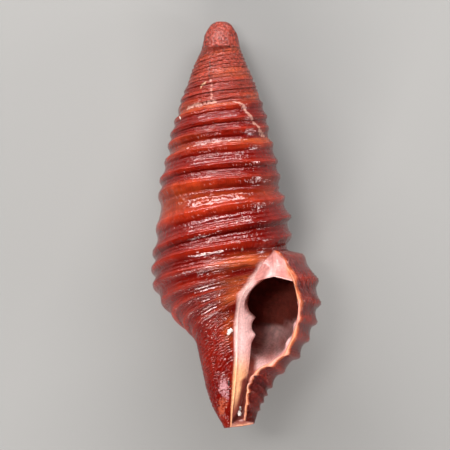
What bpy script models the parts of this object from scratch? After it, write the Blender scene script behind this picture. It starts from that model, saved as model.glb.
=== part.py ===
import math

import bmesh
import bpy
import numpy as np

# A small spindle-shaped sea shell with spiral cords, a short open canal and two
# folds on its pillar. It grew as one piece, and lies on its back, opening up.
# Sizes are in millimetres and become metres when the mesh is made. A place on
# the shell is given by the turn of growth, counted from the tip of the spire,
# and by the cord number, counted from the seam above the whorl.

MM = 0.001

LIP_TURN = 7.114
TURNS = 6
ROWS_PER_TURN = 32
SEAM_CORD = 3
BASE_END = 8
CANAL_END = 12
CANAL_TIP = 11

# The smooth first whorls, as a dome: depth below the apex, radius.
DOME = ((0.02, 0.17), (0.09, 0.31), (0.22, 0.42), (0.44, 0.54), (0.70, 0.61))

# The seam between the whorls: turn, depth below the apex, radius. It sets out
# from the foot of the dome, which it circles once.
SEAM = (
    (1.0, 0.98, 0.67),
    (LIP_TURN - 5, 0.98, 0.67),
    (2.5, 1.40, 0.86),
    (3.0, 1.82, 1.02),
    (3.5, 2.25, 1.17),
    (4.0, 2.66, 1.33),
    (4.5, 3.30, 1.49),
    (5.0, 4.00, 1.65),
    (5.5, 4.64, 1.79),
    (6.0, 5.78, 2.01),
    (6.5, 6.49, 2.15),
    (7.0, 7.87, 2.20),
    (7.5, 8.83, 2.44),
    (8.0, 10.07, 3.13),
    (8.114, 10.07, 2.92),
)

# Outlines of the last whorl at four turns: cord number, depth, radius.
OUTLINE_TURNS = (6.0, 6.5, 7.0, LIP_TURN)
OUTLINES = (
    (
        (0, 5.78, 2.01),
        (0.5, 6.07, 2.13),
        (1.5, 6.72, 2.27),
        (2.5, 7.38, 2.27),
        (3, 7.87, 2.20),
        (3.5, 8.14, 2.15),
        (4.5, 8.42, 1.99),
        (5.5, 8.66, 1.79),
        (6.5, 8.86, 1.51),
        (7.5, 9.07, 1.20),
        (8, 9.21, 1.07),
        (9, 9.93, 0.86),
        (10, 11.13, 0.79),
        (11, 12.51, 0.58),
        (12, 14.05, 0.17),
    ),
    (
        (0, 6.49, 2.15),
        (0.5, 7.15, 2.27),
        (1.5, 8.00, 2.42),
        (2.5, 8.55, 2.46),
        (3, 8.83, 2.44),
        (3.5, 9.09, 2.42),
        (4.5, 9.65, 2.18),
        (5.5, 10.05, 1.85),
        (6.5, 10.36, 1.47),
        (7.5, 10.74, 1.16),
        (8, 10.98, 1.07),
        (9, 11.70, 0.93),
        (10, 12.51, 0.79),
        (11, 13.34, 0.55),
        (12, 14.05, 0.17),
    ),
    (
        (0, 7.87, 2.20),
        (0.5, 8.11, 2.65),
        (1.5, 8.93, 3.14),
        (2.5, 9.72, 3.20),
        (3, 10.07, 3.13),
        (3.5, 10.38, 3.06),
        (4.5, 10.98, 2.79),
        (5.5, 11.56, 2.44),
        (6.5, 12.08, 1.90),
        (7.5, 12.60, 1.46),
        (8, 12.77, 1.36),
        (9, 13.01, 1.24),
        (10, 13.26, 1.10),
        (11, 13.54, 0.96),
        (12, 13.88, 0.84),
    ),
    (
        (0, 8.04, 2.27),
        (0.5, 8.35, 2.51),
        (1.5, 9.04, 2.78),
        (2.5, 9.76, 2.92),
        (3, 10.07, 2.92),
        (3.5, 10.38, 2.89),
        (4.5, 10.95, 2.70),
        (5.5, 11.55, 2.41),
        (6.5, 11.97, 1.93),
        (7.5, 12.27, 1.46),
        (8, 12.40, 1.31),
        (9, 12.68, 1.10),
        (10, 13.02, 1.00),
        (11, 13.43, 0.86),
        (12, 13.85, 0.72),
    ),
)

# How far the lip edge, and the left edge of the pillar's callus, stand ahead of
# LIP_TURN along the whorl: cord number, degrees.
LIP_SKEW = ((0, 0), (0.5, -3), (1.5, -6), (3, -10), (5.5, -10), (6.5, -3), (7.5, 7), (9, 9), (12, 1))
CALLUS_SKEW = ((3, 0), (3.5, 11), (5.5, 20), (8, 27), (10, 29), (12, 43))

# Before its first outline, the base shrinks with each turn towards a point above
# the apex, as the whorls of such a spiral do.
POLE_ABOVE = 2.13
DEPTH_GROWTH = 0.787
RADIUS_GROWTH = 0.86
BODY_FROM = 5.5
BODY_BLEND = 0.5

# The pillar leans a little to the right of the spire's axis: depth, offset.
AXIS = ((6.15, 0.0), (7.18, 0.09), (8.59, 0.14), (10.96, 0.21), (12.68, 0.27), (13.98, 0.31))

# Where the cords lie between the two seams of a whorl: cord number, share.
CORD_PLACES = ((0, 0.0), (0.5, 0.12), (1.5, 0.46), (2.5, 0.75), (3, 1.0))
WHORL_BULGE = 0.045
BULGE_FROM = 2.0
BULGE_TURNS = 2.5
BULGE_LEAN = 0.8
BULGE_FLATNESS = 0.7

# Height of the spiral cords as a share of the radius: turn, share.
CORD_RELIEF = (
    (2.0, 0.0),
    (2.5, 0.017),
    (3.0, 0.025),
    (3.5, 0.042),
    (4.5, 0.052),
    (5.5, 0.060),
    (6.0, 0.066),
    (6.5, 0.052),
    (7.0, 0.044),
    (7.05, 0.028),
    (LIP_TURN, 0.014),
)
CORD_FADE = 0.05
FADE_CORDS = 0.5
NECK_FROM = 7.6
NECK_BLEND = 0.6

# Along the lower half of the lip the cords stay high and run on down the canal.
LOW_LIP_RELIEF = 0.062
LOW_LIP_CORD = 4.8
LOW_LIP_CORDS = 1.0
LOW_LIP_TURN = 6.9
LOW_LIP_TURNS = 0.1
NECK_SHIFT = 3.2

LIP_WALL = 0.17
CANAL_WALL = 0.11
THIN_FROM = 7
THIN_CORDS = 3

# The lip grows thicker a little way in, down to where the canal begins.
LIP_SWELL = 0.20
SWELL_REACH = 0.05
SWELL_TO = 6.5
SWELL_BLEND = 1.5

CALLUS = 0.035
CALLUS_RADIUS = 0.2
CALLUS_BLEND = 0.5
SEAM_ROOM = 0.05
FOLD_DEPTHS = (10.50, 11.13)
FOLD_HEIGHT = 0.11
FOLD_WIDTH = 0.16
FOLD_RISE = 2.2
FOLD_FROM = 0.03
FOLD_BLEND = 0.1

# Rings of the hollow behind the lip: turns back from the lip, depth of its
# floor, how far the canal's back wall stands behind the slit, and the share of
# the sides that the floor takes up.
HOLLOW = (
    (0.010, 13.70, 1.0, 0.00),
    (0.035, 13.60, 1.0, 0.01),
    (0.065, 13.48, 1.0, 0.02),
    (0.100, 13.28, 0.9, 0.04),
    (0.150, 12.95, 0.7, 0.07),
    (0.200, 12.45, 0.4, 0.10),
    (0.260, 11.95, 0.1, 0.13),
    (0.330, 11.55, 0.0, 0.15),
    (0.410, 11.25, 0.0, 0.15),
    (0.500, 11.00, 0.0, 0.15),
    (0.600, 10.70, 0.0, 0.15),
)
SKEW_FADE_RINGS = 6

# The wall of the whorl before stands back behind the top of the callus.
RECESS = 0.35
RECESS_FROM = 0.02
RECESS_TURNS = 0.03
RECESS_DEPTH = 9.7
RECESS_BLEND = 0.6

# The callus fills the top of the mouth, and thins out inwards.
ROOF_GAP = 0.03
CROWN_RISE = 0.16
ROOF_DROP = 0.75
ROOF_REACH = 0.25

# The hollow narrows towards the spire from below: how far, from which turn back
# and over how many, from which depth and over how much.
FILL = 1.2
FILL_FROM = 0.08
FILL_TURNS = 0.25
FILL_DEPTH = 10.9
FILL_BLEND = 1.6

CANAL_RADIUS = 0.27
CANAL_OPEN_FROM = 60
CANAL_OPEN_TO = -240

# How finely the walls, the sides, the canal's end and the floor are followed
# before they become rings, and a step that keeps depths in order.
WALL_SAMPLES = 240
SIDE_SAMPLES = 700
CANAL_SAMPLES = 33
FLOOR_SAMPLES = 24
NUDGE = 1e-6

SPIRE_DEPTH = 6.5
REST_TILTS = (5, 25)
TILT_STEP = 0.01
REST_CUT = 0.06
REST_SNAP = 0.002

SHELL_COLOUR = (0.33, 0.022, 0.010, 1.0)
SHELL_ROUGHNESS = 0.25


def smooth(x):
    x = np.clip(x, 0.0, 1.0)
    return x * x * (3.0 - 2.0 * x)


def curveThrough(xs, ys, x):
    # A smooth curve through points that never overshoots them. Each column of
    # ys is a curve of its own, read at the matching value of x.
    xs = np.asarray(xs, dtype=float)
    x = np.atleast_1d(np.asarray(x, dtype=float))
    ys = np.asarray(ys, dtype=float)
    if ys.ndim == 1:
        ys = np.repeat(ys[:, None], len(x), axis=1)
    step = np.diff(xs)[:, None]
    slope = np.diff(ys, axis=0) / step
    tangent = np.zeros_like(ys)
    tangent[0] = slope[0]
    tangent[-1] = slope[-1]
    product = slope[1:] * slope[:-1]
    total = slope[1:] + slope[:-1]
    safe = np.where(product > 0, total, 1.0)
    tangent[1:-1] = np.where(product > 0, 2.0 * product / safe, 0.0)
    low = np.clip(np.searchsorted(xs, x) - 1, 0, len(xs) - 2)
    width = xs[low + 1] - xs[low]
    part = np.clip((x - xs[low]) / width, 0.0, 1.0)
    each = np.arange(len(x))
    y0 = ys[low, each]
    y1 = ys[low + 1, each]
    m0 = tangent[low, each] * width
    m1 = tangent[low + 1, each] * width
    square = part * part
    cube = square * part
    start = (2 * cube - 3 * square + 1) * y0 + (cube - 2 * square + part) * m0
    return start + (3 * square - 2 * cube) * y1 + (cube - square) * m1


def readTable(table, x):
    columns = np.array(table, dtype=float).T
    return [curveThrough(columns[0], values, x) for values in columns[1:]]


def spireOutline(turn, cord):
    # A gently swollen band between the seam above and the seam below.
    across = readTable(CORD_PLACES, cord)[0]
    topDepth, topRadius = readTable(SEAM, turn)
    lowDepth, lowRadius = readTable(SEAM, turn + 1)
    arch = np.sin(math.pi * np.clip(across, 0.0, 1.0) ** BULGE_LEAN)
    swell = WHORL_BULGE * smooth((turn - BULGE_FROM) / BULGE_TURNS) * lowRadius
    swell = swell * np.maximum(arch, 0.0) ** BULGE_FLATNESS
    depth = topDepth + (lowDepth - topDepth) * across
    radius = topRadius + (lowRadius - topRadius) * across + swell
    return depth, radius


def bodyOutline(turn, cord):
    # The last whorl blends from one measured outline to the next.
    outlines = [readTable(outline, cord) for outline in OUTLINES]
    depths = np.array([outline[0] for outline in outlines])
    radii = np.array([outline[1] for outline in outlines])
    depth = curveThrough(OUTLINE_TURNS, depths, turn)
    radius = curveThrough(OUTLINE_TURNS, radii, turn)
    before = np.maximum(OUTLINE_TURNS[0] - turn, 0.0)
    depth = (depth + POLE_ABOVE) * DEPTH_GROWTH ** before - POLE_ABOVE
    radius = radius * RADIUS_GROWTH ** before
    return depth, radius


def outline(turn, cord):
    turn = np.atleast_1d(np.asarray(turn, dtype=float))
    cord = np.atleast_1d(np.asarray(cord, dtype=float))
    turn, cord = np.broadcast_arrays(turn, cord)
    spireDepth, spireRadius = spireOutline(turn, np.minimum(cord, SEAM_CORD))
    bodyDepth, bodyRadius = bodyOutline(turn, cord)
    body = np.where(cord > SEAM_CORD, 1.0, smooth((turn - BODY_FROM) / BODY_BLEND))
    depth = spireDepth + (bodyDepth - spireDepth) * body
    radius = spireRadius + (bodyRadius - spireRadius) * body
    return depth, radius


def outwards(turn, cord):
    step = 0.02
    depth0, radius0 = outline(turn, np.maximum(cord - step, 0.0))
    depth1, radius1 = outline(turn, np.minimum(cord + step, CANAL_END))
    along = depth1 - depth0
    out = radius1 - radius0
    length = np.maximum(np.hypot(along, out), 1e-9)
    return -out / length, along / length


def cordRelief(turn, cord, radius):
    # The cords sink into the neck, and under the edge of the callus.
    onLip = smooth((cord - LOW_LIP_CORD) / LOW_LIP_CORDS) * smooth((turn - LOW_LIP_TURN) / LOW_LIP_TURNS)
    share = readTable(CORD_RELIEF, turn)[0]
    height = radius * (share + (LOW_LIP_RELIEF - share) * onLip)
    onNeck = smooth((cord - NECK_FROM - NECK_SHIFT * onLip) / NECK_BLEND)
    edge = LIP_TURN - 1 + readTable(CALLUS_SKEW, cord)[0] / 360
    onCallus = 1.0 - smooth((turn - edge) / CORD_FADE)
    onCallus = onCallus * smooth((cord - SEAM_CORD) / FADE_CORDS)
    return -0.5 * height * (1.0 - onNeck) * (1.0 - onCallus) * np.cos(2 * math.pi * cord)


def surface(turn, cord):
    depth, radius = outline(turn, cord)
    normalDepth, normalRadius = outwards(turn, cord)
    relief = cordRelief(turn, cord, radius)
    return place(turn, depth + relief * normalDepth, radius + relief * normalRadius)


def place(turn, depth, radius):
    angle = 2 * math.pi * np.asarray(turn, dtype=float)
    offset = readTable(AXIS, depth)[0]
    x = offset + radius * np.cos(angle)
    z = radius * np.sin(angle)
    return np.stack([x, -np.asarray(depth), z], axis=-1)


def skewed(turn, cord):
    # The last turn starts along the callus and ends along the lip edge.
    ahead = readTable(LIP_SKEW, cord)[0] / 360
    behind = np.where(cord > SEAM_CORD, readTable(CALLUS_SKEW, cord)[0], 0.0) / 360
    half = 0.5
    middle = LIP_TURN - half
    return turn + ahead * smooth((turn - middle) / half) + behind * smooth((middle - turn) / half)


def columnCords():
    spire = np.linspace(0, SEAM_CORD, SEAM_CORD * 4 + 1)
    base = np.linspace(SEAM_CORD, BASE_END, (BASE_END - SEAM_CORD) * 4 + 1)[1:]
    canal = np.linspace(BASE_END, CANAL_TIP, (CANAL_TIP - BASE_END) * 2 + 1)[1:]
    tip = np.linspace(CANAL_TIP, CANAL_END, (CANAL_END - CANAL_TIP) * 4 + 1)[1:]
    return spire, np.concatenate([base, canal, tip])


def resample(points, fractions):
    along = arcFractions(points)
    return np.stack([np.interp(fractions, along, points[:, axis]) for axis in range(3)], axis=-1)


def plainEdge(turn, cord):
    turn = skewed(np.full(len(cord), turn), cord)
    depth, radius = outline(turn, cord)
    return place(turn, depth, radius)


def arcFractions(points):
    lengths = np.linalg.norm(np.diff(points, axis=0), axis=1)
    along = np.concatenate([[0.0], np.cumsum(lengths)])
    return along / along[-1]


def outerWall(back, skewLeft, depths):
    # Inner face of the outer wall: radius and turn at each depth.
    cord = np.linspace(0, CANAL_END, WALL_SAMPLES)
    turn = LIP_TURN - back + skewLeft * readTable(LIP_SKEW, cord)[0] / 360
    depth, radius = outline(turn, cord)
    normalDepth, normalRadius = outwards(turn, cord)
    wall = LIP_WALL + (CANAL_WALL - LIP_WALL) * smooth((cord - THIN_FROM) / THIN_CORDS)
    swell = smooth(back / SWELL_REACH) * (1.0 - smooth((cord - SWELL_TO) / SWELL_BLEND))
    wall = wall + LIP_SWELL * swell
    inDepth = np.maximum.accumulate(depth - wall * normalDepth)
    inRadius = radius - wall * normalRadius
    inDepth = inDepth + NUDGE * np.arange(len(cord))
    filled = FILL * smooth((back - FILL_FROM) / FILL_TURNS) * smooth((depths - FILL_DEPTH) / FILL_BLEND)
    return np.interp(depths, inDepth, inRadius) - filled, np.interp(depths, inDepth, turn)


def innerWall(back, skewLeft, depths):
    # The pillar and the whorl before, under a thin callus: radius and turn.
    cord = np.linspace(SEAM_CORD, CANAL_END, WALL_SAMPLES)
    turn = LIP_TURN - 1 - back + skewLeft * readTable(CALLUS_SKEW, cord)[0] / 360
    depth, radius = outline(turn, cord)
    depth = np.maximum.accumulate(depth) + NUDGE * np.arange(len(cord))
    wallRadius = np.interp(depths, depth, radius)
    wallRadius = wallRadius + CALLUS * smooth((wallRadius - CALLUS_RADIUS) / CALLUS_BLEND)
    for fold in FOLD_DEPTHS:
        away = (depths - (fold - FOLD_RISE * back)) / FOLD_WIDTH
        shown = smooth((back - FOLD_FROM) / FOLD_BLEND)
        wallRadius = wallRadius + FOLD_HEIGHT * shown * np.exp(-away * away)
    high = 1.0 - smooth((depths - RECESS_DEPTH) / RECESS_BLEND)
    wallRadius = wallRadius - RECESS * smooth((back - RECESS_FROM) / RECESS_TURNS) * high
    return wallRadius, np.interp(depths, depth, turn)


def hollowSides(index):
    # One loop of the hollow: down its outer side, and down its inner side.
    back, floor = HOLLOW[index][:2]
    skewLeft = max(0.0, 1.0 - index / SKEW_FADE_RINGS) ** 2
    roof = float(outline(LIP_TURN - back, 0)[0][0]) + ROOF_GAP
    roof = roof + ROOF_DROP * (1.0 - smooth(back / ROOF_REACH))
    depths = np.linspace(roof, floor, SIDE_SAMPLES)
    outRadius, outTurn = outerWall(back, skewLeft, depths)
    inRadius, inTurn = innerWall(back, skewLeft, depths)
    room = outRadius - inRadius
    widest = int(np.argmax(room))
    top = widest
    while top > 0 and room[top - 1] > SEAM_ROOM:
        top = top - 1
    low = widest
    while low < len(depths) - 1 and room[low + 1] > SEAM_ROOM:
        low = low + 1
    span = slice(top, low + 1)
    outer = place(outTurn[span], depths[span], outRadius[span])
    inner = place(inTurn[span], depths[span], inRadius[span])
    crown = (outer[0] + inner[0]) / 2
    crown[1] = crown[1] + CROWN_RISE * (1.0 - smooth(back / ROOF_REACH))
    return np.vstack([crown, outer]), np.vstack([crown, inner])


def canalEnd(index, start, end):
    # Joins the two sides round the back of the canal.
    bulge = HOLLOW[index][2] * min(1.0, np.linalg.norm(end - start) / CANAL_RADIUS)
    part = np.linspace(0, 1, CANAL_SAMPLES)[:, None]
    angle = np.radians(CANAL_OPEN_FROM + (CANAL_OPEN_TO - CANAL_OPEN_FROM) * part)
    across = np.hstack([np.cos(angle), np.zeros_like(angle), np.sin(angle)]) * CANAL_RADIUS
    chord = across[0] + (across[-1] - across[0]) * part
    return start + (end - start) * part + bulge * (across - chord)


def hollowLoop(index, outerParts, tipCount, innerParts):
    outerLine, innerLine = hollowSides(index)
    keep = 1 - HOLLOW[index][3]
    outer = resample(outerLine, outerParts * keep)
    inner = resample(innerLine, innerParts * keep)[::-1]
    ends = np.linspace(keep, 1, FLOOR_SAMPLES)
    endCurve = canalEnd(index, outerLine[-1], innerLine[-1])
    floor = np.vstack([resample(outerLine, ends)[:-1], endCurve, resample(innerLine, ends)[-2::-1]])
    tip = resample(floor, np.linspace(0, 1, tipCount + 2)[1:-1])
    return np.vstack([outer, tip, inner])


def buildMesh():
    spireCords, baseCords = columnCords()
    seamColumn = len(spireCords) - 1
    lastColumn = seamColumn + len(baseCords)
    lastRow = TURNS * ROWS_PER_TURN
    firstBaseRow = lastRow - ROWS_PER_TURN
    turns = LIP_TURN - TURNS + np.arange(lastRow + 1) / ROWS_PER_TURN
    points = []
    number = {}
    for row in range(lastRow + 1):
        cords = spireCords
        if row >= firstBaseRow:
            cords = np.concatenate([spireCords, baseCords])
        turn = np.full(len(cords), turns[row])
        if row >= firstBaseRow:
            turn = skewed(turn, cords)
        line = surface(turn, cords)
        for column in range(len(cords)):
            if column > 0 and row == 0:
                number[row, column] = number[0, 0]
                continue
            if column == 0 and row >= ROWS_PER_TURN:
                number[row, 0] = number[row - ROWS_PER_TURN, seamColumn]
                continue
            number[row, column] = len(points)
            points.append(line[column])
    faces = []
    for row in range(lastRow):
        columns = lastColumn if row >= firstBaseRow else seamColumn
        for column in range(columns):
            a = number[row, column]
            b = number[row + 1, column]
            c = number[row + 1, column + 1]
            d = number[row, column + 1]
            faces.append((b, c, d) if a == d else (a, b, c, d))
    capApex(points, faces, [number[row, 0] for row in range(ROWS_PER_TURN)])
    hollowOut(points, faces, number, (lastRow, firstBaseRow, seamColumn, lastColumn))
    return np.array(points), faces


def joinRings(faces, ringA, ringB):
    count = len(ringA)
    for k in range(count):
        after = (k + 1) % count
        faces.append((ringA[k], ringA[after], ringB[after], ringB[k]))


def capRing(points, faces, ring, tip):
    points.append(tip)
    centre = len(points) - 1
    count = len(ring)
    for k in range(count):
        faces.append((ring[k], ring[(k + 1) % count], centre))


def capApex(points, faces, ring):
    foot = np.array([points[k] for k in ring])
    spread = foot[:, [0, 2]] / np.linalg.norm(foot[:, [0, 2]], axis=1)[:, None]
    for depth, radius in reversed(DOME):
        upper = []
        for across in spread:
            upper.append(len(points))
            points.append(np.array([across[0] * radius, -depth, across[1] * radius]))
        joinRings(faces, ring, upper)
        ring = upper
    capRing(points, faces, ring, np.zeros(3))


def hollowOut(points, faces, number, shape):
    # From the lip edge round the canal's end and up the callus, and inwards.
    lastRow, firstBaseRow, seamColumn, lastColumn = shape
    outer = [number[lastRow, column] for column in range(lastColumn + 1)]
    tip = [number[row, lastColumn] for row in range(lastRow - 1, firstBaseRow, -1)]
    inner = [number[firstBaseRow, column] for column in range(lastColumn, seamColumn, -1)]
    ring = outer + tip + inner
    rim = np.array([points[k] for k in ring])
    spireCords, baseCords = columnCords()
    outerParts = arcFractions(plainEdge(LIP_TURN, np.concatenate([spireCords, baseCords])))
    innerParts = arcFractions(plainEdge(LIP_TURN - 1, np.concatenate([spireCords[-1:], baseCords])))[1:]
    loops = [hollowLoop(index, outerParts, len(tip), innerParts) for index in range(len(HOLLOW))]
    loops.insert(0, rim + (loops[0] - rim) * 0.5)
    for loop in loops:
        after = []
        for point in loop:
            after.append(len(points))
            points.append(point)
        joinRings(faces, ring, after)
        ring = after
    capRing(points, faces, ring, loops[-1].mean(axis=0))


def tipped(points, degrees):
    tilt = math.radians(degrees)
    y = points[:, 1] * math.cos(tilt) + points[:, 2] * math.sin(tilt)
    z = points[:, 2] * math.cos(tilt) - points[:, 1] * math.sin(tilt)
    return np.stack([points[:, 0], y, z], axis=-1)


def restTilt(points):
    # The angle at which the spire and the last whorl both touch the ground.
    spire = points[:, 1] > -SPIRE_DEPTH
    low, high = REST_TILTS
    while high - low > TILT_STEP:
        middle = (low + high) / 2
        height = tipped(points, middle)[:, 2]
        if height[spire].min() > height[~spire].min():
            low = middle
        else:
            high = middle
    return high


def layDown(points):
    lying = tipped(points, restTilt(points))
    lowest = lying.min(axis=0)
    highest = lying.max(axis=0)
    centre = (lowest + highest) / 2
    centre[2] = lowest[2] + REST_CUT
    return (lying - centre) * MM


def wearFlat(shaped):
    cut = bmesh.ops.bisect_plane(
        shaped,
        geom=shaped.verts[:] + shaped.edges[:] + shaped.faces[:],
        dist=REST_SNAP * MM,
        plane_co=(0, 0, 0),
        plane_no=(0, 0, 1),
        clear_inner=True,
    )
    edges = [item for item in cut["geom_cut"] if isinstance(item, bmesh.types.BMEdge)]
    for item in cut["geom_cut"]:
        if isinstance(item, bmesh.types.BMVert):
            item.co.z = 0.0
    bmesh.ops.contextual_create(shaped, geom=edges)


def shellMaterial():
    material = bpy.data.materials.new("red shell")
    material.use_nodes = True
    shader = material.node_tree.nodes["Principled BSDF"]
    shader.inputs["Base Color"].default_value = SHELL_COLOUR
    shader.inputs["Roughness"].default_value = SHELL_ROUGHNESS
    shader.inputs["Metallic"].default_value = 0.0
    return material


def makeShell():
    points, faces = buildMesh()
    mesh = bpy.data.meshes.new("shell")
    mesh.from_pydata([tuple(point) for point in layDown(points)], [], faces)
    shaped = bmesh.new()
    shaped.from_mesh(mesh)
    wearFlat(shaped)
    bmesh.ops.triangulate(shaped, faces=shaped.faces[:])
    bmesh.ops.recalc_face_normals(shaped, faces=shaped.faces[:])
    shaped.to_mesh(mesh)
    shaped.free()
    mesh.shade_smooth()
    mesh.materials.append(shellMaterial())
    shell = bpy.data.objects.new("shell", mesh)
    bpy.context.scene.collection.objects.link(shell)
    return shell


for leftover in list(bpy.data.objects):
    bpy.data.objects.remove(leftover)
makeShell()
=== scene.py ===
import math

import bmesh
import bpy
import numpy as np
from mathutils import Matrix, Vector, noise


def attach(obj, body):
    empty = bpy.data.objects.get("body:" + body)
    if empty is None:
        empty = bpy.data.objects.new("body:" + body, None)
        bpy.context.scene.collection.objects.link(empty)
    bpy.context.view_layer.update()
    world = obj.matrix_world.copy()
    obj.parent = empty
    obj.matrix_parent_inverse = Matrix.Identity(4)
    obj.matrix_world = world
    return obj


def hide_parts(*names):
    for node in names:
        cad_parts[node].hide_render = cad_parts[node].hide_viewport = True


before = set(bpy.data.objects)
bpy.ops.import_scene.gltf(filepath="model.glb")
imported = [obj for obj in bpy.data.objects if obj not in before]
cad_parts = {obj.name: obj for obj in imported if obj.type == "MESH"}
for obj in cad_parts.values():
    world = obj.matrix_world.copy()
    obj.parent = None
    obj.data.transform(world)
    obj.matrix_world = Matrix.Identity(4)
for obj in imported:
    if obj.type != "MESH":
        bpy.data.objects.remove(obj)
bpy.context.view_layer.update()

mm = 0.001  # the tables below are in millimetres, the scene is in metres

# The shell's form. A place on it is a turn of growth, counted from the tip of the spire,
# and a cord number, counted from the seam above the whorl. Depth runs down from the tip.
# Here and below a fade says where it starts and how far it runs.
form = {
    "lipTurn": 7.114,
    "turns": 6,
    "seamCord": 3,
    "baseEnd": 8,
    "canalTip": 11,
    "canalEnd": 12,
    "dome": ((0.02, 0.17), (0.09, 0.31), (0.22, 0.42), (0.44, 0.54), (0.70, 0.61)),
    "seam": (  # turn, depth, radius
        (1.0, 0.98, 0.67), (2.114, 0.98, 0.67), (2.5, 1.40, 0.86), (3.0, 1.82, 1.02),
        (3.5, 2.25, 1.17), (4.0, 2.66, 1.33), (4.5, 3.30, 1.49), (5.0, 4.00, 1.65),
        (5.5, 4.64, 1.79), (6.0, 5.78, 2.01), (6.5, 6.49, 2.15), (7.0, 7.87, 2.20),
        (7.5, 8.83, 2.44), (8.0, 10.07, 3.13), (8.114, 10.07, 2.92),
    ),
    "outlineTurns": (6.0, 6.5, 7.0, 7.114),
    "outlines": (  # at each of those turns: cord, depth, radius
        ((0, 5.78, 2.01), (0.5, 6.07, 2.13), (1.5, 6.72, 2.27), (2.5, 7.38, 2.27), (3, 7.87, 2.20),
         (3.5, 8.14, 2.15), (4.5, 8.42, 1.99), (5.5, 8.66, 1.79), (6.5, 8.86, 1.51), (7.5, 9.07, 1.20),
         (8, 9.21, 1.07), (9, 9.93, 0.86), (10, 11.13, 0.79), (11, 12.51, 0.58), (12, 14.05, 0.17)),
        ((0, 6.49, 2.15), (0.5, 7.15, 2.27), (1.5, 8.00, 2.42), (2.5, 8.55, 2.46), (3, 8.83, 2.44),
         (3.5, 9.09, 2.42), (4.5, 9.65, 2.18), (5.5, 10.05, 1.85), (6.5, 10.36, 1.47), (7.5, 10.74, 1.16),
         (8, 10.98, 1.07), (9, 11.70, 0.93), (10, 12.51, 0.79), (11, 13.34, 0.55), (12, 14.05, 0.17)),
        ((0, 7.87, 2.20), (0.5, 8.11, 2.65), (1.5, 8.93, 3.14), (2.5, 9.72, 3.20), (3, 10.07, 3.13),
         (3.5, 10.38, 3.06), (4.5, 10.98, 2.79), (5.5, 11.56, 2.44), (6.5, 12.08, 1.90), (7.5, 12.60, 1.46),
         (8, 12.77, 1.36), (9, 13.01, 1.24), (10, 13.26, 1.10), (11, 13.54, 0.96), (12, 13.88, 0.84)),
        ((0, 8.04, 2.27), (0.5, 8.35, 2.51), (1.5, 9.04, 2.78), (2.5, 9.76, 2.92), (3, 10.07, 2.92),
         (3.5, 10.38, 2.89), (4.5, 10.95, 2.70), (5.5, 11.55, 2.41), (6.5, 11.97, 1.93), (7.5, 12.27, 1.46),
         (8, 12.40, 1.31), (9, 12.68, 1.10), (10, 13.02, 1.00), (11, 13.43, 0.86), (12, 13.85, 0.72)),
    ),
    "axis": ((6.15, 0.0), (7.18, 0.09), (8.59, 0.14), (10.96, 0.21), (12.68, 0.27), (13.98, 0.31)),
    "lipSkew": ((0, 0), (0.5, -3), (1.5, -6), (3, -10), (5.5, -10), (6.5, -3), (7.5, 7), (9, 9), (12, 1)),
    "callusSkew": ((3, 0), (3.5, 11), (5.5, 20), (8, 27), (10, 29), (12, 43)),
    "cordPlaces": ((0, 0.0), (0.5, 0.12), (1.5, 0.46), (2.5, 0.75), (3, 1.0)),
    "whorlBulge": 0.045,
    "bulgeFade": (2.0, 2.5),
    "bulgeLean": 0.8,
    "bulgeFlatness": 0.7,
    "bodyFade": (5.5, 0.5),
    "poleAbove": 2.13,  # earlier whorls are the last one shrunk towards a pole above the tip
    "depthGrowth": 0.787,
    "radiusGrowth": 0.86,
    "lastWhorlFrom": 6.04,
    "lastCordSpacing": 0.5,  # millimetres
}

# The raised cords and their threads. Relief and profile are shares.
cords = {
    "relief": (  # turn, height as a share of the radius
        (2.0, 0.0), (2.5, 0.017), (3.0, 0.025), (3.5, 0.042), (4.5, 0.052), (5.5, 0.060), (6.0, 0.066),
        (6.5, 0.052), (7.0, 0.044), (7.05, 0.028), (7.114, 0.014),
    ),
    "callusEdge": 0.05,  # turns over which the cords sink under it
    "callusFade": (3, 0.5),
    "lowLip": {"relief": 0.062, "cordFade": (4.8, 1.0), "turnFade": (6.9, 0.1), "neckShift": 3.2},
    "neckFade": (7.6, 0.6),
    "profile": (  # share of the way from furrow to furrow, height
        (0.00, 0.04), (0.06, 0.02), (0.12, 0.17), (0.17, 0.09), (0.24, 0.37), (0.29, 0.29), (0.36, 0.67),
        (0.41, 0.60), (0.47, 1.00), (0.52, 0.92), (0.58, 0.99), (0.65, 0.74), (0.74, 0.38), (0.83, 0.10),
        (0.92, 0.00), (1.00, 0.04),
    ),
    "spireFade": (3.2, 0.9),
    "spireThreads": 2,  # to each cord number, on the first whorls
    "spireThreadHeight": 0.060,  # millimetres
    "beadMean": 0.6,
    "seamFade": (1.4, 0.9),
    "seamReach": (0.5, 0.3),  # cord numbers kept smooth below the upper seam, and round the lower one
    "neckThreads": 8,
    "neckHeight": 0.042,
    "neckThreadMean": 0.7,
    "tipFade": (10.5, 1.5),
    "tipSink": 0.5,
}

# Soft noises over the shell: strength, waves to a turn, waves to a cord number, and two
# numbers that set each noise apart from the others.
noises = {
    "cordHeights": (0.22, 9, 3.7, 0.5, 0),
    "beads": (0.9, 40, 2.3, 0, 3),
    "broadWander": (0.16, 11, 1.5, 0, 4),
    "fineWander": (0.09, 42, 5, 0, 9),
    "neckThreads": (1.1, 30, 5, 0, 6),
    "lumps": (0.012, 5, 0.9, 0, 12),
    "patches": (1, 5, 0.8, 0, 20),
    "specks": (1, 30, 3.0, 0, 25),
    "orangeUnder": (1.1, 3, 0, 0.3, 30),
    "orangeAbove": (1.3, 3.3, 0, 0.6, 40),
}

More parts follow.
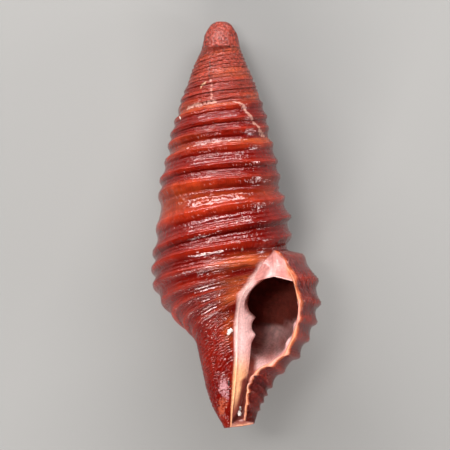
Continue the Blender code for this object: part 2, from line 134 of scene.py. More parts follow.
# The hollow behind the mouth: turns back from the lip, depth of its floor, how far the
# canal's back wall stands behind the slit, and the share of the sides the floor takes up.
hollow = {
    "rings": (
        (0.010, 13.70, 1.0, 0.00), (0.035, 13.60, 1.0, 0.01), (0.065, 13.48, 1.0, 0.02),
        (0.100, 13.28, 0.9, 0.04), (0.150, 12.95, 0.7, 0.07), (0.200, 12.45, 0.4, 0.10),
        (0.260, 11.95, 0.1, 0.13), (0.330, 11.55, 0.0, 0.15), (0.410, 11.25, 0.0, 0.15),
        (0.500, 11.00, 0.0, 0.15), (0.600, 10.70, 0.0, 0.15),
    ),
    "ringsBetween": 2,
    "skewRings": 6,  # the lip's slant is lost over so many rings
    "lipWall": 0.17,
    "canalWall": 0.11,
    "canalWallFade": (7, 3),
    "fill": 1.2,  # the hollow is narrower below, far in
    "fillBackFade": (0.08, 0.25),
    "fillDepthFade": (10.9, 1.6),
    "callus": 0.035,
    "callusFade": (0.2, 0.5),
    "seamRoom": 0.05,
    "foldDepths": (10.50, 11.13),
    "foldHeight": 0.13,
    "foldWidth": 0.13,
    "foldRise": 2.2,
    "foldFade": (0.03, 0.1),
    "roofGap": 0.03,
    "roofDrop": 1.08,
    "roofReach": 0.25,
    "crownRise": 0.16,
    "canalRadius": 0.27,
    "canalOpening": (60, -240),
    "lirae": (9.35, 9.90, 10.65, 11.25),
    "liraHeight": 0.14,
    "liraWidth": 0.19,
    "liraFade": (0.005, 0.035),
    "liraSink": 0.75,
    "liraSinkFade": (0.05, 0.1),
    "lipSwell": 0.20,  # the lip is thicker a little way in
    "swellReach": 0.05,
    "swellFade": (6.5, 1.5),
    "recess": 0.20,  # the wall stands back behind the top of the callus
    "recessFade": (0.02, 0.03),
    "recessDepthFade": (9.7, 0.6),
    "wallSamples": 240,
    "canalSamples": 33,
    "floorSamples": 24,
    "rimSteps": (0.1, 0.25, 0.42, 0.58, 0.75, 0.9),  # rings from the lip's edge to the first ring
    "lipRounding": 0.085,
    "canalRounding": 0.04,
    "callusRounding": 0.03,
    "sharpStart": 8,  # the rounding grows over the first eighth of the lip
}

mesh = {
    "rowsPerTurn": 144, "denserAtLip": 0.5, "canalColumns": 40, "sideSamples": 700, "domeRows": 18,
    "domeMap": (20, 3),  # cord numbers for the finish on the dome: at the tip, and their rise
    "hollowMap": (20, 30),  # length and first cord number for the finish in the hollow
}

rest = {
    "spireDepth": 6.5, "tilts": (5, 25), "tiltStep": 0.01, "cut": 0.06, "snap": 0.002, "coarseRows": 32,
}

# Linear red, green and blue.
paint = {
    "deepRed": (0.105, 0.0020, 0.0010),
    "crestRed": (0.250, 0.013, 0.0035),
    "spireRose": (0.190, 0.026, 0.014),
    "orange": (0.380, 0.066, 0.015),
    "rimOrange": (0.400, 0.085, 0.030),
    "rimCream": (0.560, 0.260, 0.150),
    "nacre": (0.720, 0.450, 0.430),
    "lilac": (0.500, 0.200, 0.180),
    "pillarOrange": (0.800, 0.400, 0.210),
    # partly the inside's own dark red, partly painted shade far into the hollow
    "cavityRedAndShade": (0.200, 0.040, 0.028),
}

# How far each colour shows on the outside, and its fades along turns, cord numbers or depth.
outside = {
    "reds": (0.5, 0.9, 0.5),  # bright red on the crests: all over, in patches, in specks
    "neckRed": 0.35,
    "rose": 0.8,
    "earlyFade": (2.6, 1.3),
    "orangeUnder": (0.6, 0.45),  # under the seam: how strong, and its mean
    "underFade": (0, 0.9),
    "orangeAbove": (0.42, 0.15),
    "aboveFades": ((2.1, 0.5), (3.0, 0.2)),
    "aboveUntil": 6,
    "orangeBase": (0.5, 0.9),  # all over, in patches
    "baseTurns": ((6.10, 0.04), (6.21, 0.10)),
    "baseCords": ((2.8, 0.8), (8.5, 1.5)),
    "orangeSpecks": 0.8,
    "rim": 0.009,
    "rimDullness": 0.2,
    "pillar": 0.8,
    "pillarDepths": (11.3, 1.0),
    "pillarCords": (3.3, 1.0),
    "pillarWander": 0.012,
    "pillarWidth": 0.022,
    "lipFade": (7.0, 0.05),
    "neckFade": (7.4, 0.8),
    # Striae, threads and grains: everywhere, and more on the first whorls, the lip and the neck.
    "skin": ((0.7, -0.3, -0.3, -0.4), (0.8, 0.3, -0.6, -0.5), (0.15, 1.2, 0.3, 0.5)),
    "domeSkin": (0.1, 0.0, 1.9),
    "domePlace": (1.2, 1.0),
    "domeGrain": (0.05, 6, 12),
}

# The same inside the mouth. Rings are counted inwards from the first one behind the lip.
inside = {
    "lowFade": (9.9, 1.0),
    "canalFade": (12.0, 0.5),
    "paleBands": ((9.25, 0.25), (10.6, 0.35)),  # depth, half its width
    "mottleScale": 2.4,
    "padFades": ((0.5, 0.5), (4.2, 0.8)),  # cord numbers of the pad, at the lip and at the pillar
    # The ring where the dark red with painted shade starts and how many it takes: high up, more low down
    # and in the canal.
    "lipDark": (0.6, 7.0, -1.2), "lipTakes": (2.0, 3.0, -1.2),
    "lipWaver": (1.2, 1.8),  # with the pale bands, with the mottling
    "pillarDark": (0.6, 4.0, -4.2), "pillarTakes": (0.8, 1.4, -1.2),
    "pillarLowFade": (9.5, 0.8),
    "pillarWaver": 0.5,
    "slitFade": (11.0, 1.0),
    "slitRings": (-0.85, 0.5),
    "lipNacre": 0.55,
    "padNacre": (-0.2, 1.6),
    "rimRings": (-0.35, 0.5),
    "rimLines": 2,
    "rimOnPillar": 0.8,
    "rimMottle": (0.9, 0.8),
    "dullness": (0.15, 0.3),  # at the lip, and more in the dark
    "skin": (0.1, 0.0, 0.3),
}

# Marks on this shell, one of them partly a painted highlight: places as turn and cord, width in
# millimetres, colour, strength.
crust = (0.36, 0.17, 0.13)
marks = (
    (((4.20, 0.0), (4.164, 0.7), (4.141, 1.5), (4.121, 2.2), (4.10, 2.75), (4.07, 3.0)), 0.16, crust, 0.60),
    (((2.323, 1.1), (2.313, 1.8), (2.316, 2.6), (2.306, 3.0)), 0.06, (0.06, 0.008, 0.004), 0.8),
    (((3.306, 0.0), (3.291, 0.95), (3.291, 1.6), (3.286, 2.5), (3.288, 3.0)), 0.13, crust, 0.48),
    (((3.33, 0.6), (3.34, 0.9)), 0.16, (0.42, 0.25, 0.14), 0.6),
    (((3.27, 2.9), (3.36, 2.85), (3.40, 2.9)), 0.11, crust, 0.6),
    # a pale edge under the seam, partly painted highlight
    (((5.16, 0.02), (5.27, 0.06), (5.33, 0.12), (5.37, 0.3)), 0.16, (0.42, 0.24, 0.22), 0.5),
    (((4.424, 0.65),), 0.08, (0.8, 0.66, 0.6), 1.0),
    (((6.217, 2.5),), 0.09, crust, 0.9),
    (((6.207, 2.8),), 0.08, crust, 0.9),
    (((6.19, 2.9),), 0.06, crust, 0.9),
    (((6.30, 10.62), (6.285, 10.80)), 0.34, (0.38, 0.16, 0.17), 0.6),
    (((6.31, 11.1), (6.36, 11.3)), 0.30, (0.30, 0.045, 0.014), 0.6),
    (((6.248, 10.62),), 0.08, (0.02, 0.004, 0.004), 1.0),
)


def smooth(x):
    x = np.clip(x, 0.0, 1.0)
    return x * x * (3.0 - 2.0 * x)


def rise(x, fade):  # from 0 to 1, starting at fade[0] and taking fade[1]
    return smooth((x - fade[0]) / fade[1])


def fall(x, fade):
    return 1 - rise(x, fade)


def between(x, fades):
    return rise(x, fades[0]) * fall(x, fades[1])


def blend(first, second, share):
    return first + (second - first) * share


def curveThrough(xs, ys, x):  # a smooth curve through points that never overshoots them
    xs = np.asarray(xs, dtype=float)
    x = np.atleast_1d(np.asarray(x, dtype=float))
    ys = np.asarray(ys, dtype=float)
    if ys.ndim == 1:
        ys = np.repeat(ys[:, None], len(x), axis=1)
    step = np.diff(xs)[:, None]
    slope = np.diff(ys, axis=0) / step
    tangent = np.zeros_like(ys)
    tangent[0] = slope[0]
    tangent[-1] = slope[-1]
    product = slope[1:] * slope[:-1]
    total = slope[1:] + slope[:-1]
    safe = np.where(product > 0, total, 1.0)
    tangent[1:-1] = np.where(product > 0, 2.0 * product / safe, 0.0)
    low = np.clip(np.searchsorted(xs, x) - 1, 0, len(xs) - 2)
    width = xs[low + 1] - xs[low]
    part = np.clip((x - xs[low]) / width, 0.0, 1.0)
    each = np.arange(len(x))
    y0 = ys[low, each]
    y1 = ys[low + 1, each]
    m0 = tangent[low, each] * width
    m1 = tangent[low + 1, each] * width
    square = part * part
    cube = square * part
    start = (2 * cube - 3 * square + 1) * y0 + (cube - 2 * square + part) * m0
    return start + (3 * square - 2 * cube) * y1 + (cube - square) * m1


def readTable(table, x):
    columns = np.array(table, dtype=float).T
    return [curveThrough(columns[0], values, x) for values in columns[1:]]


def spireOutline(turn, cord):
    across = readTable(form["cordPlaces"], cord)[0]
    topDepth, topRadius = readTable(form["seam"], turn)
    lowDepth, lowRadius = readTable(form["seam"], turn + 1)
    arch = np.maximum(np.sin(math.pi * np.clip(across, 0, 1) ** form["bulgeLean"]), 0.0)
    swell = form["whorlBulge"] * rise(turn, form["bulgeFade"]) * lowRadius
    swell = swell * arch ** form["bulgeFlatness"]
    return blend(topDepth, lowDepth, across), blend(topRadius, lowRadius, across) + swell


def bodyOutline(turn, cord):  # the last whorl, and the base under earlier ones
    outlines = np.array([readTable(table, cord) for table in form["outlines"]])
    depth, radius = (curveThrough(form["outlineTurns"], outlines[:, n], turn) for n in (0, 1))
    before = np.maximum(form["outlineTurns"][0] - turn, 0.0)
    depth = (depth + form["poleAbove"]) * form["depthGrowth"] ** before - form["poleAbove"]
    return depth, radius * form["radiusGrowth"] ** before


def outline(turn, cord):
    turn = np.atleast_1d(np.asarray(turn, dtype=float))
    cord = np.atleast_1d(np.asarray(cord, dtype=float))
    turn, cord = np.broadcast_arrays(turn, cord)
    spireDepth, spireRadius = spireOutline(turn, np.minimum(cord, form["seamCord"]))
    bodyDepth, bodyRadius = bodyOutline(turn, cord)
    body = np.where(cord > form["seamCord"], 1.0, rise(turn, form["bodyFade"]))
    return blend(spireDepth, bodyDepth, body), blend(spireRadius, bodyRadius, body)


def outwards(turn, cord):
    step = 0.02
    depth0, radius0 = outline(turn, np.maximum(cord - step, 0.0))
    depth1, radius1 = outline(turn, np.minimum(cord + step, form["canalEnd"]))
    along = depth1 - depth0
    out = radius1 - radius0
    length = np.maximum(np.hypot(along, out), 1e-9)
    return -out / length, along / length


def place(turn, depth, radius):
    angle = 2 * math.pi * np.asarray(turn, dtype=float)
    x = readTable(form["axis"], depth)[0] + radius * np.cos(angle)
    return np.stack([x, -np.asarray(depth), radius * np.sin(angle)], axis=-1)


def skew(line, cord):  # the tables are in degrees
    return readTable(form[line], cord)[0] / 360


def skewed(turn, cord):  # the last turn starts along the callus and ends along the lip edge
    ahead = skew("lipSkew", cord)
    behind = np.where(cord > form["seamCord"], skew("callusSkew", cord), 0.0)
    middle = form["lipTurn"] - 0.5
    return turn + ahead * smooth((turn - middle) / 0.5) + behind * smooth((middle - turn) / 0.5)


def grain(x, y, z):  # soft, repeatable unevenness from -1 to 1
    spots = np.stack(np.broadcast_arrays(x, y, z), axis=-1).reshape(-1, 3)
    return np.array([noise.noise(Vector(spot)) for spot in spots]).reshape(np.shape(x))


def noisy(name, turn, cord):
    strength, perTurn, perCord, shift, apart = noises[name]
    return strength * grain(turn * perTurn, cord * perCord + shift, apart)


def cordsShown(turn, cord):  # the cords sink under the edge of the callus
    edge = form["lipTurn"] - 1 + skew("callusSkew", cord)
    return 1 - (1 - smooth((turn - edge) / cords["callusEdge"])) * rise(cord, cords["callusFade"])


def cordRoom(turn, cord, radius):  # the cords' full height, and how far the neck has smoothed them
    lowLip = cords["lowLip"]
    onLip = rise(cord, lowLip["cordFade"]) * rise(turn, lowLip["turnFade"])
    share = readTable(cords["relief"], turn)[0]
    height = radius * blend(share, lowLip["relief"], onLip)
    return height, rise(cord - lowLip["neckShift"] * onLip, cords["neckFade"])


def plainRelief(turn, cord, radius):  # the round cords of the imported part
    height, onNeck = cordRoom(turn, cord, radius)
    return -0.5 * height * (1 - onNeck) * cordsShown(turn, cord) * np.cos(2 * math.pi * cord)


def cordHeight(cord):
    return readTable(cords["profile"], cord - np.floor(cord))[0]


def fineRelief(turn, cord, radius):  # the cords with their threads, and the threads of spire and neck
    shown = cordsShown(turn, cord)
    height, neck = cordRoom(turn, cord, radius)
    uneven = 1 + noisy("cordHeights", turn, np.floor(cord))
    ridge = height * (1 - neck) * shown * (cordHeight(cord) * uneven - 0.5)
    early = fall(turn, cords["spireFade"])
    bead = cords["beadMean"] + noisy("beads", turn, np.round(cord * cords["spireThreads"]))
    spire = early * np.cos(2 * math.pi * cords["spireThreads"] * cord) * bead
    wander = cord + noisy("broadWander", turn, cord) + noisy("fineWander", turn, cord)
    thread = cords["neckThreadMean"] + noisy("neckThreads", turn, cord)
    thread = np.cos(2 * math.pi * cords["neckThreads"] * wander) * thread
    tipward = 1 - cords["tipSink"] * rise(cord, cords["tipFade"])
    swell = radius * noisy("lumps", turn, cord)
    below, above = cords["seamReach"]
    seamed = smooth(cord / below) * smooth(np.abs(cord - form["seamCord"]) / above)
    seamed = seamed * rise(turn, cords["seamFade"])
    ridge = ridge - 0.5 * cords["spireThreadHeight"] * spire * seamed + swell * seamed
    return ridge - 0.5 * cords["neckHeight"] * neck * tipward * thread * shown


def surface(turn, cord, relief):
    depth, radius = outline(turn, cord)
    normalDepth, normalRadius = outwards(turn, cord)
    height = relief(turn, cord, radius)
    return place(turn, depth + height * normalDepth, radius + height * normalRadius)


def columnCords(fine):
    seamCord, baseEnd, tip, end = (form[key] for key in ("seamCord", "baseEnd", "canalTip", "canalEnd"))
    if not fine:
        spire = np.linspace(0, seamCord, seamCord * 4 + 1)
        base = np.linspace(seamCord, baseEnd, (baseEnd - seamCord) * 4 + 1)[1:]
        canal = np.linspace(baseEnd, tip, (tip - baseEnd) * 2 + 1)[1:]
        return spire, np.concatenate([base, canal, np.linspace(tip, end, 5)[1:]])
    shares = np.array(cords["profile"])[:-1, 0]
    whole = np.concatenate([number + shares for number in range(baseEnd)] + [[baseEnd]])
    canal = np.linspace(baseEnd, end, (end - baseEnd) * mesh["canalColumns"] + 1)[1:]
    return whole[whole <= seamCord], np.concatenate([whole[whole > seamCord], canal])


def arcFractions(points):
    along = np.concatenate([[0.0], np.cumsum(np.linalg.norm(np.diff(points, axis=0), axis=1))])
    return along / along[-1]


def resample(points, fractions):
    along = arcFractions(points)
    return np.stack([np.interp(fractions, along, points[:, axis]) for axis in range(3)], axis=-1)


def plainEdge(turn, cord):
    turn = skewed(np.full(len(cord), turn), cord)
    depth, radius = outline(turn, cord)
    return place(turn, depth, radius)


def ringAt(index):  # the hollow's table, read between its rings
    table = [(number,) + ring for number, ring in enumerate(hollow["rings"])]
    return [float(values[0]) for values in readTable(table, index)]


def onlyDeeper(depth):  # keeps a line of depths from turning back
    return np.maximum.accumulate(depth) + 1e-6 * np.arange(len(depth))


def ridges(places, width, back, depths):  # low ridges that climb as they run inwards
    away = [(depths - (place - hollow["foldRise"] * back)) / width for place in places]
    return sum(np.exp(-each * each) for each in away)


def outerWall(back, skewLeft, depths):  # inner face of the outer wall: radius and turn
    cord = np.linspace(0, form["canalEnd"], hollow["wallSamples"])
    turn = form["lipTurn"] - back + skewLeft * skew("lipSkew", cord)
    depth, radius = outline(turn, cord)
    normalDepth, normalRadius = outwards(turn, cord)
    wall = blend(hollow["lipWall"], hollow["canalWall"], rise(cord, hollow["canalWallFade"]))
    swell = hollow["lipSwell"] * smooth(back / hollow["swellReach"])
    wall = wall + swell * fall(cord, hollow["swellFade"])
    inDepth = onlyDeeper(depth - wall * normalDepth)
    filled = rise(back, hollow["fillBackFade"]) * rise(depths, hollow["fillDepthFade"])
    wallRadius = np.interp(depths, inDepth, radius - wall * normalRadius) - hollow["fill"] * filled
    shown = 1 - hollow["liraSink"] * rise(back, hollow["liraSinkFade"])
    shown = shown * rise(back, hollow["liraFade"])
    lirae = ridges(hollow["lirae"], hollow["liraWidth"], back, depths)
    return wallRadius - hollow["liraHeight"] * shown * lirae, np.interp(depths, inDepth, turn)


def innerWall(back, skewLeft, depths):  # the pillar and the whorl before, under the callus
    cord = np.linspace(form["seamCord"], form["canalEnd"], hollow["wallSamples"])
    turn = form["lipTurn"] - 1 - back + skewLeft * skew("callusSkew", cord)
    depth, radius = outline(turn, cord)
    depth = onlyDeeper(depth)
    wallRadius = np.interp(depths, depth, radius)
    wallRadius = wallRadius + hollow["callus"] * rise(wallRadius, hollow["callusFade"])
    folds = ridges(hollow["foldDepths"], hollow["foldWidth"], back, depths)
    wallRadius = wallRadius + hollow["foldHeight"] * rise(back, hollow["foldFade"]) * folds
    high = fall(depths, hollow["recessDepthFade"])
    wallRadius = wallRadius - hollow["recess"] * rise(back, hollow["recessFade"]) * high
    return wallRadius, np.interp(depths, depth, turn)


def hollowSides(index):
    back, floor = ringAt(index)[:2]
    skewLeft = max(0.0, 1.0 - index / hollow["skewRings"]) ** 2
    nearLip = 1 - smooth(back / hollow["roofReach"])
    roof = float(outline(form["lipTurn"] - back, 0)[0][0]) + hollow["roofGap"]
    roof = roof + hollow["roofDrop"] * nearLip
    depths = np.linspace(roof, floor, mesh["sideSamples"])
    outRadius, outTurn = outerWall(back, skewLeft, depths)
    inRadius, inTurn = innerWall(back, skewLeft, depths)
    room = outRadius - inRadius
    widest = int(np.argmax(room))
    closed = np.flatnonzero(room <= hollow["seamRoom"])
    top = max([0, *(closed[closed < widest] + 1)])
    span = slice(top, min([len(depths), *closed[closed > widest]]))
    outer = place(outTurn[span], depths[span], outRadius[span])
    inner = place(inTurn[span], depths[span], inRadius[span])
    crown = (outer[0] + inner[0]) / 2
    crown[1] = crown[1] + hollow["crownRise"] * nearLip
    return np.vstack([crown, outer]), np.vstack([crown, inner])


def canalEnd(bulge, start, end):  # joins the two sides round the back of the canal
    bulge = bulge * min(1.0, np.linalg.norm(end - start) / hollow["canalRadius"])
    part = np.linspace(0, 1, hollow["canalSamples"])[:, None]
    first, last = hollow["canalOpening"]
    angle = np.radians(first + (last - first) * part)
    across = np.hstack([np.cos(angle), np.zeros_like(angle), np.sin(angle)]) * hollow["canalRadius"]
    return blend(start, end, part) + bulge * (across - blend(across[0], across[-1], part))


def hollowLoop(index, outerParts, tipCount, innerParts):
    outerLine, innerLine = hollowSides(index)
    bulge, share = ringAt(index)[2:]
    keep = 1 - share
    outer = resample(outerLine, outerParts * keep)
    inner = resample(innerLine, innerParts * keep)[::-1]
    ends = np.linspace(keep, 1, hollow["floorSamples"])
    endCurve = canalEnd(bulge, outerLine[-1], innerLine[-1])
    floor = np.vstack([resample(outerLine, ends)[:-1], endCurve, resample(innerLine, ends)[-2::-1]])
    tip = resample(floor, np.linspace(0, 1, tipCount + 2)[1:-1])
    return np.vstack([outer, tip, inner])


def rowTurns(rowsPerTurn, fine):  # the rows stand closer together near the lip's own angle
    grown = np.arange(form["turns"] * rowsPerTurn + 1) / rowsPerTurn
    closer = mesh["denserAtLip"] * fine * np.sin(2 * math.pi * grown) / (2 * math.pi)
    return form["lipTurn"] - form["turns"] + grown - closer


def grid(rowsPerTurn, fine, relief):  # the outside: points by row and column
    spire, base = columnCords(fine)
    columns = np.concatenate([spire, base])
    lastRow = form["turns"] * rowsPerTurn
    turns = rowTurns(rowsPerTurn, fine)
    turn, cord = np.meshgrid(turns, columns, indexing="ij")
    lastTurn = np.arange(lastRow + 1) >= lastRow - rowsPerTurn
    turn[lastTurn] = skewed(turn[lastTurn].ravel(), cord[lastTurn].ravel()).reshape(-1, len(columns))
    used = np.ones_like(turn, dtype=bool)
    used[~lastTurn, len(spire):] = False
    points = np.zeros(turn.shape + (3,))
    points[used] = surface(turn[used], cord[used], relief)
    return points, used, turn, cord


def tipped(points, degrees):
    tilt = math.radians(degrees)
    y = points[..., 1] * math.cos(tilt) + points[..., 2] * math.sin(tilt)
    z = points[..., 2] * math.cos(tilt) - points[..., 1] * math.sin(tilt)
    return np.stack([points[..., 0], y, z], axis=-1)


def restTilt(points):  # the angle at which the spire and the last whorl both touch the ground
    spire = points[:, 1] > -rest["spireDepth"]
    low, high = rest["tilts"]
    while high - low > rest["tiltStep"]:
        middle = (low + high) / 2
        height = tipped(points, middle)[:, 2]
        if height[spire].min() > height[~spire].min():
            low = middle
        else:
            high = middle
    return high


def findRest():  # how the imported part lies: its tilt, and the point that is the origin
    points, used = grid(rest["coarseRows"], False, plainRelief)[:2]
    points = points[used]
    tilt = restTilt(points)
    lying = tipped(np.vstack([points, [[0, 0, 0]]]), tilt)
    lowest = lying.min(axis=0)
    centre = (lowest + lying.max(axis=0)) / 2
    centre[2] = lowest[2] + rest["cut"]
    return tilt, centre


def layDown(points):
    return (tipped(points, restingTilt) - restingCentre) * mm


restingTilt, restingCentre = findRest()
print(f"the shell lies tipped by {restingTilt:.2f} degrees")


class Mesh:  # points, faces and how each point looks
    def __init__(self):
        self.points = []
        self.looks = []
        self.count = 0
        self.faces = []
        self.corners = []

    def add(self, points, looks):  # returns the new points' numbers
        numbers = self.count + np.arange(len(points))
        self.points.append(points)
        self.looks.append(looks)
        self.count = self.count + len(points)
        return numbers

    def strip(self, numbersA, numbersB, placesA, placesB):  # joins two rows of points with faces
        for k in range(len(numbersA) - 1):
            corners = [(numbersA[k], placesA[k]), (numbersB[k], placesB[k]),
                       (numbersB[k + 1], placesB[k + 1]), (numbersA[k + 1], placesA[k + 1])]
            kept = [corners[n] for n in range(4) if corners[n][0] != corners[n - 1][0]]
            self.faces.append([int(number) for number, spot in kept])
            self.corners.extend(spot for number, spot in kept)


def grownLengths(turns):  # millimetres grown along the middle of the whorl up to each turn
    radius = outline(turns, np.full(len(turns), form["seamCord"] / 2))[1]
    steps = np.diff(turns) * 2 * math.pi * (radius[1:] + radius[:-1]) / 2
    return np.concatenate([[0.0], np.cumsum(steps)])


def mixed(first, second, share):
    return blend(np.asarray(first), np.asarray(second), np.asarray(share)[..., None])


def nearMark(turn, cord, places, width):  # 1 on the line through the places, 0 beyond the width
    nearest = np.full(turn.shape, 1e9)
    across = 2 * math.pi * outline(turn, cord)[1]
    for (turnA, cordA), (turnB, cordB) in zip(places, places[1:] + places[-1:]):
        down = 1j * cordSpacing(turnA)  # a complex number holds the ways across and down
        along = (turnB - turnA) * across + (cordB - cordA) * down
        spot = (turn - turnA) * across + (cord - cordA) * down
        part = (spot * along.conj()).real / np.maximum(np.abs(along) ** 2, 1e-12)
        nearest = np.minimum(nearest, np.abs(spot - np.clip(part, 0, 1) * along))
    return 1 - smooth(nearest / width)


def cordSpacing(turn):  # millimetres from one cord number to the next
    if turn > form["lastWhorlFrom"]:
        return form["lastCordSpacing"]
    depth = outline(turn, np.array([0.0, form["seamCord"]]))[0]
    return float(depth[1] - depth[0]) / form["seamCord"]


# What is kept for each point: its columns, and how Blender stores them.
layers = {
    "tint": (slice(0, 4), "FLOAT_COLOR", "color"),  # the colour, with dullness
    "mark": (slice(7, 11), "FLOAT_COLOR", "color"),  # the colour of a mark, with how far it covers
    "wrinkles": (slice(11, 12), "FLOAT", "value"),
    "skin": (slice(4, 7), "FLOAT_VECTOR", "vector"),  # how far striae, threads and grains show
}


def looksOf(tint, dull, skin, mark=(0, 0, 0), cover=0.0, wrinkles=0.0):
    parts = ((dull, 1), (skin, 3), (mark, 3), (cover, 1), (wrinkles, 1))
    return np.hstack([tint] + [np.broadcast_to(part, (len(tint), width)) for part, width in parts])


def orangeShare(turn, cord, patch):  # along both sides of the seam, and on the base by the lip
    strength, mean = outside["orangeUnder"]
    under = fall(cord, outside["underFade"]) * (mean + noisy("orangeUnder", turn, cord))
    orange = strength * np.clip(under, 0, 1)
    strength, mean = outside["orangeAbove"]
    above = between(cord, outside["aboveFades"]) * (mean + noisy("orangeAbove", turn, cord))
    orange = orange + strength * np.clip(above, 0, 1) * (turn < outside["aboveUntil"])
    even, patchy = outside["orangeBase"]
    base = between(turn, outside["baseTurns"]) * between(cord, outside["baseCords"])
    return orange + base * (even + patchy * patch)


def pillarTint(depth):
    return mixed(paint["nacre"], paint["pillarOrange"], rise(depth, outside["pillarDepths"]))


def outsideLooks(turn, cord):
    crest = np.where(cord < form["baseEnd"], cordHeight(cord), outside["neckRed"])
    patch = noisy("patches", turn, cord)
    fine = noisy("specks", turn, cord)
    early = fall(turn, outside["earlyFade"])
    even, patchy, specked = outside["reds"]
    red = np.clip(crest * (even + patchy * patch + specked * fine), 0, 1)
    tint = mixed(paint["deepRed"], paint["crestRed"], red)
    tint = mixed(tint, paint["spireRose"], early * outside["rose"])
    orange = orangeShare(turn, cord, patch) * (1 + outside["orangeSpecks"] * fine)
    tint = mixed(tint, paint["orange"], np.clip(orange, 0, 1))
    edge = form["lipTurn"] + skew("lipSkew", cord)
    atRim = smooth((turn - edge) / outside["rim"] + 1 + fine)
    tint = mixed(tint, paint["rimOrange"], atRim)
    edge = form["lipTurn"] - 1 + skew("callusSkew", cord)
    beside = (turn - edge - outside["pillarWander"] * patch) / outside["pillarWidth"]
    beside = (1 - smooth(beside)) * rise(cord, outside["pillarCords"])
    tint = mixed(tint, pillarTint(outline(turn, cord)[0]), outside["pillar"] * beside)
    mark = np.zeros(tint.shape)
    cover = np.zeros(len(tint))
    for places, width, colour, strength in marks:
        near = strength * nearMark(turn, cord, places, width)
        mark = mixed(mark, colour, near > cover)
        cover = np.maximum(cover, near)
    lip = rise(turn, outside["lipFade"])
    neck = rise(cord, outside["neckFade"])
    skin = [plain + a * early + b * lip + c * neck for plain, a, b, c in outside["skin"]]
    dull = (outside["rimDullness"] * atRim)[:, None]
    wrinkles = (lip * (1 - atRim))[:, None]
    return looksOf(tint, dull, np.stack(skin, axis=-1), mark, cover[:, None], wrinkles)


def byPlace(amounts, low, canal):
    high, lower, inCanal = amounts
    return high + lower * low + inCanal * canal


def darkRedAndPaintedShade(index, depth, side, slit, mottled):  # how far the hollow's dark red and painted shade show
    low = rise(depth, inside["lowFade"])
    canal = rise(depth, inside["canalFade"])
    pale = sum(np.exp(-((depth - middle) / width) ** 2) for middle, width in inside["paleBands"])
    withPale, withMottle = inside["lipWaver"]
    start = byPlace(inside["lipDark"], low * (1 - canal), canal) + withPale * pale + withMottle * mottled
    onLip = smooth((index - start) / byPlace(inside["lipTakes"], low * (1 - canal), canal))
    start = byPlace(inside["pillarDark"], rise(depth, inside["pillarLowFade"]), canal)
    start = start + inside["pillarWaver"] * mottled
    onPillar = smooth((index - start) / byPlace(inside["pillarTakes"], low, canal))
    inSlit = slit * rise(index, inside["slitRings"])
    return np.maximum(blend(onLip, onPillar, side), inSlit)


def nacreTint(share):
    return mixed(paint["lilac"], paint["nacre"], np.clip(share, 0, 1))


def hollowLooks(index, loop, ringCords, side):
    depth = -loop[:, 1]
    mottled = grain(*(loop * inside["mottleScale"]).T)
    slit = rise(ringCords, inside["slitFade"])
    darkAndShade = darkRedAndPaintedShade(index, depth, side, slit, mottled)
    onLip, onPillar = (fall(ringCords, fade) for fade in inside["padFades"])
    pad = blend(onLip, onPillar, side)
    mean, mottle = inside["padNacre"]
    padTint = nacreTint(mean + mottle * mottled)
    tint = mixed(nacreTint(inside["lipNacre"] + mottled), pillarTint(depth), side)
    tint = mixed(tint, padTint, pad)
    line = 0.5 - 0.5 * math.cos(2 * math.pi * inside["rimLines"] * min(1.0, index + 1.0))
    rimTint = mixed(paint["rimOrange"], paint["rimCream"], np.full(len(loop), line))
    mean, mottle = inside["rimMottle"]
    rim = fall(index, inside["rimRings"]) * np.clip(mean + mottle * mottled, 0, 1)
    rim = rim * (1 - inside["rimOnPillar"] * side * (1 - slit))
    tint = mixed(tint, mixed(rimTint, padTint, pad), rim)
    # painted shade deeper into the hollow and the canal's slit, over the inside's own dark red
    tint = mixed(tint, paint["cavityRedAndShade"], darkAndShade)
    polished, more = inside["dullness"]
    return looksOf(tint, (polished + more * darkAndShade)[:, None], inside["skin"])


